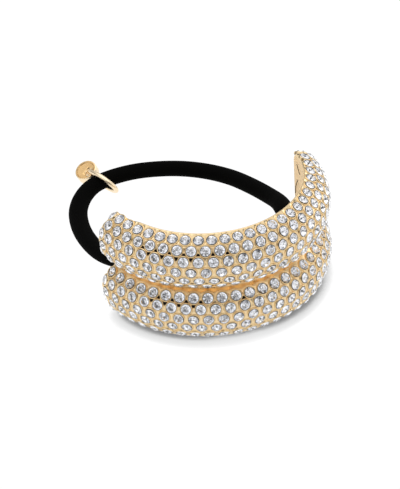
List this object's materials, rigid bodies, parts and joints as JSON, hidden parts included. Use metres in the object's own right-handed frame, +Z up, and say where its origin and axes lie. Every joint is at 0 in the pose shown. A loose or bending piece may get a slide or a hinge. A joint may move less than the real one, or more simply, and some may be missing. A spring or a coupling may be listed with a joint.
{
  "type": "hair tie with a jewelled cuff",
  "caption": "Hair tie with a C-shaped gold cuff, double-lobed and set all over with small clear stones, on a covered black elastic with a disc charm.",
  "frame": {"origin": "on the surface that the cuff stands on, at the middle of the cuff's footprint", "axes": "+Z up, +X along the cuff from one end to the other, the stones face -Y and the elastic runs out to +Y"},
  "size_m": [0.059, 0.0828, 0.0285],
  "materials": {
    "pale_gold": "polished pale gold plate",
    "black_cover": "matt woven cover"
  },
  "bodies": {
    "root": {"upper_lobe": "pale_gold", "lower_lobe": "pale_gold", "elastic": "black_cover", "charm_ring": "pale_gold", "charm_disc": "pale_gold"}
  },
  "joints": []
}
